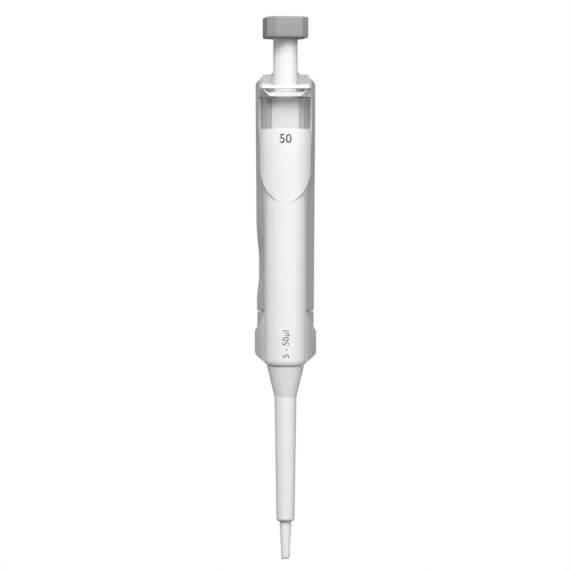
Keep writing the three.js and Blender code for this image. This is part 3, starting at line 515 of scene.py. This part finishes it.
def bend_below_cover(mesh):
    """Draws the cone's top down where the front cover's lower edge hangs in its way."""
    for vert in mesh.vertices:
        y, z = vert.co.y / MM, vert.co.z / MM
        share = max(0.0, (z - CONE_CREASE) / (CONE_TOP - CONE_CREASE))
        drop = max(0.0, CONE_TOP - (front_edge(y) - GAP / 2))
        vert.co.z -= drop * share * MM


def add_ejector_sleeve():
    """The white tube with a rounded lower end, and the cone above its crease."""
    low, high = box_mm("ejector_sleeve")
    bottom_radius, crease_radius, top_radius = 3.93, 4.76, high.x
    wall, round_width, round_height = 0.9, 1.1, 1.3
    mouth = bottom_radius - round_width
    half_section = [
        *arc(mouth, low.z + round_height, round_width, round_height, -90, 0, 6),
        (crease_radius, CONE_CREASE),
        (top_radius, CONE_TOP),
        (top_radius - wall, CONE_TOP),
        (crease_radius - wall, CONE_CREASE),
        (bottom_radius - wall, low.z + 2.7),
        (mouth, low.z + 1.7),
    ]
    tube = turned(half_section, rounding=0.4, segments=96)
    bend_below_cover(tube)
    finish_piece("ejector_sleeve_shape", tube, "ejector_sleeve")


def add_ejector_arm():
    """The arm behind the cone, which leads up to the foot of the ejector's rod."""
    high = box_mm("ejector_sleeve")[1]
    half, front, back = 3.0, 6.9, 8.5
    bottom, foot_bottom = CONE_TOP - 1.7, high.z - 2
    foot_back, edge = high.y, 0.25
    side_view = [
        (front, bottom),
        (back, bottom),
        (back, foot_bottom),
        (foot_back, foot_bottom),
        (foot_back, high.z),
        (front, high.z),
    ]
    outline = rounded(side_view, 0.4)
    middle = Vector(((front + back) / 2, (CONE_TOP + high.z) / 2))
    slices = [(-half, edge), (-half + edge, 0), (half - edge, 0), (half, edge)]
    loops = []
    for x, inset in slices:
        scale = 1 - inset / (high.z - CONE_TOP)
        loops.append([(x, *(middle + (point - middle) * scale)) for point in outline])
    finish_piece("ejector_arm_shape", skin(loops), "ejector_sleeve")


def knob_outline(shrink):
    """The knob's plan: a square with its corners cut off and rounded, turned a little."""
    half, flat_half, corner = 9.1, 5.85, 0.8
    side_steps = 12
    round_reach = 0.4 * corner
    turn = Matrix.Rotation(math.radians(9.75), 2)
    flat, side = flat_half - round_reach, half - corner
    corners = [(flat, -side), (side, -flat), (side, flat), (flat, side)]
    circles = [(x, y, corner - shrink) for x, y in corners]
    circles += [(-x, -y, corner - shrink) for x, y in corners]
    points = belt(circles)
    outline = []
    for point, following in zip(points, points[1:] + points[:1]):
        is_side = (following - point).length > corner
        steps = side_steps if is_side else 1
        outline += [turn @ point.lerp(following, k / steps) for k in range(steps)]
    return outline


def add_control_button():
    """The knob: the rod's socket below, the cap's recess above, the screw's hole between."""
    low, high = box_mm("control_button")
    fillet, fillet_steps = 0.79, 6
    fillet_depth = 0.95 * fillet
    socket, socket_top = ROD_RADIUS + GAP, box_mm("plunger_rod")[1].z + GAP
    recess, recess_floor, recess_edge = 6.4, high.z - 3.4, 0.12
    screw_hole = 1.7

    def circle(radius, z):
        return [(*(point.normalized() * radius), z) for point in knob_outline(0)]

    def outline(shrink, z):
        return [(*point, z) for point in knob_outline(shrink)]

    lower, upper = [], []
    for k in range(fillet_steps + 1):
        angle = math.radians(90 * k / fillet_steps)
        rise, shrink = fillet * (1 - math.cos(angle)), fillet_depth * (1 - math.sin(angle))
        lower.append(outline(shrink, low.z + rise))
        upper.insert(0, outline(shrink, high.z - rise))
    loops = [
        circle(screw_hole, recess_floor),
        circle(screw_hole, socket_top),
        circle(socket, socket_top),
        circle(socket, low.z),
        *lower,
        *upper,
        circle(recess + recess_edge, high.z),
        circle(recess, high.z - recess_edge),
        circle(recess, recess_floor),
    ]
    knob = skin(loops, closed=True, smooth=30)
    finish_piece("control_button_shape", knob, "control_button")


def hexagon_radius(corner_radius, angle):
    """Distance from the middle of a hexagon to its edge; its first corner is at angle 0."""
    half_side = math.radians(30)
    from_corner = abs((angle + half_side) % (2 * half_side) - half_side)
    return corner_radius * math.cos(half_side) / math.cos(half_side - from_corner)


def add_rod():
    """The white rod, the hexagonal neck below it, and the bore through both."""
    low, high = box_mm("plunger_rod")
    shoulder, overlap = 190, 1
    bore, neck_radius = PUSH_ROD_RADIUS + GAP, 3.4
    rod = turned(ring_section(bore, ROD_RADIUS, shoulder, high.z), rounding=0.2, segments=96)
    finish_piece("plunger_rod_shape", rod, "plunger_rod")
    directions = [math.radians(degrees) for degrees in range(0, 360, 15)]

    def circle(z):
        return [around(bore, angle, z) for angle in directions]

    def hexagon(z):
        return [around(hexagon_radius(neck_radius, angle), angle, z) for angle in directions]

    bottom, top = low.z, shoulder + overlap
    loops = [circle(bottom), hexagon(bottom), hexagon(top), circle(top)]
    finish_piece("plunger_neck_shape", skin(loops, closed=True), "plunger_rod")


def add_push_rod():
    """The steel core, with its foot, its stop collar and the screw's hole in its top."""
    low, high = box_mm("push_rod")
    shaft, foot, collar = PUSH_ROD_RADIUS, 3.5, 4.2
    thickness = 2
    foot_top = low.z + thickness
    collar_bottom = 136
    collar_top = collar_bottom + thickness
    hole, hole_bottom = 1.5, 221
    corners = [
        (0, low.z),
        (foot, low.z),
        (foot, foot_top),
        (shaft, foot_top),
        (shaft, collar_bottom),
        (collar, collar_bottom),
        (collar, collar_top),
        (shaft, collar_top),
        (shaft, high.z),
        (hole, high.z),
        (hole, hole_bottom),
        (0, hole_bottom),
    ]
    add_turned("push_rod", corners, rounding=0.2)


def distance_to_u(x, z):
    """Roughly how far a point of the front view lies outside the panel's U-shaped edge."""
    if z >= PANEL_U_TOP:
        return abs(x) - PANEL_U_HALF
    smallest = 0.01
    across, up = x / PANEL_U_HALF, (z - PANEL_U_TOP) / PANEL_U_HEIGHT
    size = max(math.hypot(across, up), smallest)
    slope = math.hypot(across / PANEL_U_HALF, up / PANEL_U_HEIGHT) / size
    return (size - 1) / slope


def cover_inset(z):
    """How far the cover's skin draws in at its rounded foot and at its rounded top edge."""
    into_foot = COVER_LOW.z + FOOT_HEIGHT - z
    if into_foot > 0:
        return FOOT_INSET * quarter_round(into_foot / FOOT_HEIGHT)
    into_top = max(0.0, z - COVER_HIGH.z + TOP_ROUND)
    return TOP_ROUND * quarter_round(into_top / TOP_ROUND)


def cover_outside(share, z):
    """A point of the cover's outer skin; the share is -1 at its left seam and 1 at its right."""
    seam, step_half = COVER_HIGH.y, 0.3
    on_barrel = share * math.acos(-seam / BARREL_RADIUS)
    on_panel = share * math.acos((PANEL_Y - seam) / PANEL_RADIUS)
    radius = BARREL_RADIUS - cover_inset(z)
    narrow = Vector((radius * math.sin(on_barrel), -radius * math.cos(on_barrel)))
    radius = PANEL_RADIUS - cover_inset(z)
    wide = Vector((radius * math.sin(on_panel), PANEL_Y - radius * math.cos(on_panel)))
    place = narrow.lerp(wide, smoothstep(step_half, -step_half, distance_to_u(wide.x, z)))
    near_foot = max(0.0, 1 - (z - COVER_LOW.z) / FOOT_HEIGHT)
    lift = (front_edge(place.y) - COVER_LOW.z) * near_foot
    return (place.x, min(place.y, seam), z + lift)


def cover_inside(share, z):
    """A point of the cover's hollow, which is a plain half cylinder."""
    radius, floor = 7.6, COVER_LOW.z + 1.2
    angle = share * math.acos(-COVER_HIGH.y / radius)
    return (radius * math.sin(angle), -radius * math.cos(angle), max(z, floor))


def cover_heights():
    """Heights of the cover's rows of points, close together where it is rounded or stepped."""
    foot_steps, barrel_steps, top_steps = 8, 4, 5
    below_u, above_u, spacing = 1, 4, 0.25
    u_start = PANEL_U_TOP - PANEL_U_HEIGHT - below_u
    u_steps = int((below_u + PANEL_U_HEIGHT + above_u) / spacing)

    def quarter(steps):
        return [math.radians(90 * k / steps) for k in range(steps + 1)]

    foot = [COVER_LOW.z + FOOT_HEIGHT * (1 - math.cos(angle)) for angle in quarter(foot_steps)]
    rise = (u_start - foot[-1]) / barrel_steps
    barrel = [foot[-1] + rise * k for k in range(1, barrel_steps)]
    stepped = [u_start + spacing * k for k in range(u_steps)]
    top = [COVER_HIGH.z - TOP_ROUND * (1 - math.sin(angle)) for angle in quarter(top_steps)]
    return foot + barrel + stepped + top


def add_front_cover():
    """A half barrel whose upper part swells into a wider panel with a U-shaped lower edge."""
    half_count = 64
    shares = [k / half_count for k in range(-half_count, half_count + 1)]
    loops = []
    for z in cover_heights():
        outside = [cover_outside(share, z) for share in shares]
        inside = [cover_inside(share, z) for share in reversed(shares)]
        loops.append(outside + inside)
    finish_piece("front_cover_shape", skin(loops, smooth=40), "front_cover")


def add_rings_and_pins():
    """The small rings, discs and pins inside, from their boxes and their bores."""
    bores = {
        "piston_seal": 1.45,
        "seal_retainer": 1.5,
        "piston": 0.0,
        "spring_seat": 4.2,
        "stop_washer": 2.4,
        "screw_bearing": 2.6,
        "units_ring": 5.7,
        "tens_ring": 5.7,
        "button_cap": 0.0,
        "ejector_rod": 0.0,
        "rod_clip": 1.8,
    }
    for node, bore in bores.items():
        low, high = box_mm(node)
        section = ring_section(bore, (high.y - low.y) / 2, low.z, high.z)
        add_turned(node, section, rounding=0.2, centre_y=(low.y + high.y) / 2)


def add_piston_head():
    """A disc with a blind hole in its lower face for the piston's end."""
    low, high = box_mm("piston_head")
    hole, hole_top = 1.45, high.z - 0.7
    corners = [
        (0, hole_top),
        (hole, hole_top),
        (hole, low.z),
        (high.y, low.z),
        (high.y, high.z),
        (0, high.z),
    ]
    add_turned("piston_head", corners, rounding=0.2)


def add_o_ring():
    """A ring of round section."""
    low, high = box_mm("o_ring")
    wire, sides = (high.z - low.z) / 2, 24
    section = arc(
        high.y - wire, (low.z + high.z) / 2, wire, wire, 0, 360 - 360 / sides, sides - 1
    )
    add_turned("o_ring", section, rounding=0)


def add_spring(node, radius, wire, turns, centre_y=0.0):
    """A spring with a mesh of its own, which rides with its node's body."""
    spring = finish_piece(node + "_shape", helix(node, radius, wire, turns, centre_y), node)
    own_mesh(spring)


def add_springs():
    rod_low, rod_high = box_mm("ejector_rod")
    rod_y = (rod_low.y + rod_high.y) / 2
    add_spring("primary_spring", radius=3.2, wire=0.35, turns=9)
    add_spring("blowout_spring", radius=5.2, wire=0.5, turns=4.5)
    add_spring("ejector_spring", radius=2.6, wire=0.3, turns=9, centre_y=rod_y)


# ---------------------------------------------------------------- printed marks


def flat_letters(name, text, weight):
    """A flat mesh of a line of text; the weight makes its strokes thicker or thinner."""
    curve = bpy.data.curves.new(name, "FONT")
    curve.body = text
    curve.resolution_u = 4
    curve.offset = weight
    letters = bpy.data.objects.new(name, curve)
    mesh = bpy.data.meshes.new_from_object(letters)
    bpy.data.objects.remove(letters)
    return mesh


def cut_into_strips(work, axis, start, end):
    """Cuts flat letters across an axis, so that they can bend round a cylinder."""
    strips = 24
    for k in range(1, strips):
        share = k / strips
        place, normal = Vector(), Vector()
        place[axis] = start * (1 - share) + end * share
        normal[axis] = 1
        everything = work.verts[:] + work.edges[:] + work.faces[:]
        bmesh.ops.bisect_plane(work, geom=everything, plane_co=place, plane_no=normal)
    bmesh.ops.triangulate(work, faces=work.faces)


def printed(name, text, height, centre, radius, centre_y=0.0, reading_up=False, weight=0.0):
    """Generic lettering printed round the front: thin letters that follow a cylinder."""
    weld, ink = 0.0005, 0.03
    mesh = flat_letters(name, text, weight)
    work = bmesh.new()
    work.from_mesh(mesh)
    bmesh.ops.remove_doubles(work, verts=work.verts, dist=weld)
    low = [min(vert.co[axis] for vert in work.verts) for axis in range(2)]
    high = [max(vert.co[axis] for vert in work.verts) for axis in range(2)]
    size = height / (high[1] - low[1])
    round_axis = 1 if reading_up else 0
    cut_into_strips(work, round_axis, low[round_axis], high[round_axis])
    for vert in work.verts:
        across = (vert.co.x - (low[0] + high[0]) / 2) * size
        up = (vert.co.y - (low[1] + high[1]) / 2) * size
        if reading_up:
            across, up = -up, across
        x, z = centre[0] + across, centre[1] + up
        vert.co = Vector((x, centre_y - math.sqrt(radius * radius - x * x) - ink, z)) * MM
    bmesh.ops.solidify(work, geom=work.faces[:], thickness=ink / 2 * MM)
    work.to_mesh(mesh)
    work.free()
    finish_piece(name, mesh, "front_cover", "print_ink", replaces=False)


def add_markings():
    """The volume on the panel, and the range reading upwards above the hips."""
    printed(
        "volume_mark",
        "50",
        height=3.85,
        centre=(0.1, 182.1),
        radius=PANEL_RADIUS,
        centre_y=PANEL_Y,
    )
    printed(
        "range_mark",
        "5 - 50\u00b5l",
        height=3.3,
        centre=(0.4, 93.2),
        radius=BARREL_RADIUS,
        reading_up=True,
        weight=-0.01,
    )


# ---------------------------------------------------------------- the whole pipette


def add_guide_ears():
    """The rod guide's two ears, seen through the sight slot on either side of the rod."""
    high = box_mm("rod_guide")[1]
    bottom, top = high.z - 1, high.z + 0.6 * GAP
    right = [(4.7, -8.7), (7.7, -8.3), (7.9, -2.4), (5.8, -2.4)]
    left = [(-x, y) for x, y in reversed(right)]
    for name, plan in {"left": left, "right": right}.items():
        outline = rounded(plan, 0.2)
        ear = skin([[(*point, z) for point in outline] for z in (bottom, top)])
        finish_piece(f"rod_guide_{name}_ear", ear, "rod_guide", replaces=False)


def add_remaining_pieces():
    """All other pieces: their CAD shapes, rolled at the edges and drawn up to a neighbour."""
    bevels = {
        "head_bezel": 0.22,
        "finger_hook": 0.5,
        "ejector_button": 0.5,
        "display_window": 0.1,
    }
    usual_bevel = 0.15
    standing_on_panel = ("display_plate", "display_window", "counter_frame")
    panel_top = COVER_HIGH.z + 0.03
    guide_top = box_mm("rod_guide")[1].z + 0.8 * GAP
    done = {name for piece in bpy.data.objects for name in piece.get("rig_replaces", [])}
    for node in sorted(set(frame["nodes"]) - done):
        piece = refined(node, bevels.get(node, usual_bevel) * MM)
        if node in standing_on_panel:
            move_end(piece, min, panel_top * MM)
        if node == "rod_guide":
            move_end(piece, max, guide_top * MM)


def build_pipette():
    add_tip_cone()
    add_ejector_sleeve()
    add_ejector_arm()
    add_control_button()
    add_rod()
    add_push_rod()
    add_front_cover()
    add_rings_and_pins()
    add_piston_head()
    add_o_ring()
    add_springs()
    add_markings()
    add_guide_ears()
    add_remaining_pieces()


build_pipette()


# ---------------------------------------------------------------- floor, light, camera

FLOOR_HALF = 4.0
FLOOR_DROP = 0.2 * MM
FLOOR_GREY = 110
FILL_STRENGTH = 0.085
SOFTBOX_DISTANCE = 3.0
SOFTBOX_SIDE = 1.5
CAMERA_DISTANCE = 1.75
CAMERA_X = -0.2 * MM
CAMERA_HEIGHT = 118.8 * MM
CAMERA_REACH = 20
VIEW_WIDTH = 247.4 * MM
SENSOR_WIDTH = 36.0


def add_floor():
    """A plain floor just below the nozzle: white to the camera, grey to all other light."""
    mesh = bpy.data.meshes.new("floor")
    half = FLOOR_HALF
    corners = [(-half, -half), (half, -half), (half, half), (-half, half)]
    mesh.from_pydata([(x, y, -FLOOR_DROP) for x, y in corners], [], [(0, 1, 2, 3)])
    floor = bpy.data.objects.new("floor", mesh)
    bpy.context.scene.collection.objects.link(floor)
    nodes = Nodes("floor")
    nodes.mottled(grey(FLOOR_GREY), amount=0.002, scale=3)
    glow = nodes.add("ShaderNodeEmission")
    glow.inputs["Strength"].default_value = 1.0
    mix = nodes.add("ShaderNodeMixShader")
    seen = nodes.add("ShaderNodeLightPath")
    nodes.join(seen.outputs["Is Camera Ray"], mix.inputs["Fac"])
    nodes.join(nodes.surface.outputs["BSDF"], mix.inputs[1])
    nodes.join(glow.outputs["Emission"], mix.inputs[2])
    nodes.join(mix.outputs["Shader"], nodes.tree.nodes["Material Output"].inputs["Surface"])
    mesh.materials.append(nodes.material)


def add_world():
    """White to the camera, and a dim even fill light to everything else."""
    world = bpy.data.worlds.new("studio")
    bpy.context.scene.world = world
    world.use_nodes = True
    tree = world.node_tree
    tree.nodes.clear()

    def background(strength):
        node = tree.nodes.new("ShaderNodeBackground")
        node.inputs["Strength"].default_value = strength
        node.inputs["Color"].default_value = (1, 1, 1, 1)
        return node.outputs["Background"]

    seen = tree.nodes.new("ShaderNodeLightPath")
    mix = tree.nodes.new("ShaderNodeMixShader")
    output = tree.nodes.new("ShaderNodeOutputWorld")
    tree.links.new(seen.outputs["Is Camera Ray"], mix.inputs["Fac"])
    tree.links.new(background(FILL_STRENGTH), mix.inputs[1])
    tree.links.new(background(1.0), mix.inputs[2])
    tree.links.new(mix.outputs["Shader"], output.inputs["Surface"])


def add_softbox(name, azimuth, elevation, watts):
    """A large square light aimed at the middle of the pipette; azimuth 0 is the front."""
    light = bpy.data.lights.new(name, "AREA")
    light.shape = "SQUARE"
    light.size = SOFTBOX_SIDE
    light.energy = watts
    lamp = bpy.data.objects.new(name, light)
    turn, rise = math.radians(azimuth), math.radians(elevation)
    towards = Vector(
        (math.sin(turn) * math.cos(rise), -math.cos(turn) * math.cos(rise), math.sin(rise))
    )
    middle = Vector((0, 0, (FRAME_LOW.z + FRAME_HIGH.z) / 2))
    lamp.location = middle + towards * SOFTBOX_DISTANCE
    lamp.rotation_mode = "QUATERNION"
    lamp.rotation_quaternion = towards.to_track_quat("Z", "Y")
    bpy.context.scene.collection.objects.link(lamp)


def add_lights():
    add_softbox("key", azimuth=-10, elevation=50, watts=90)
    add_softbox("right_fill", azimuth=42, elevation=25, watts=39)
    add_softbox("left_rim", azimuth=-92, elevation=5, watts=21)
    add_softbox("back_fill", azimuth=178, elevation=25, watts=18)


def add_camera():
    """Straight in front of the pipette, level, and about halfway up."""
    camera = bpy.data.cameras.new("camera")
    camera.sensor_width = SENSOR_WIDTH
    camera.lens = SENSOR_WIDTH * CAMERA_DISTANCE / VIEW_WIDTH
    camera.clip_end = CAMERA_REACH
    viewer = bpy.data.objects.new("camera", camera)
    viewer.location = (CAMERA_X, -CAMERA_DISTANCE, CAMERA_HEIGHT)
    viewer.rotation_euler = (math.radians(90), 0, 0)
    bpy.context.scene.collection.objects.link(viewer)
    bpy.context.scene.camera = viewer


add_floor()
add_world()
add_lights()
add_camera()
bpy.context.scene.view_settings.view_transform = "Standard"
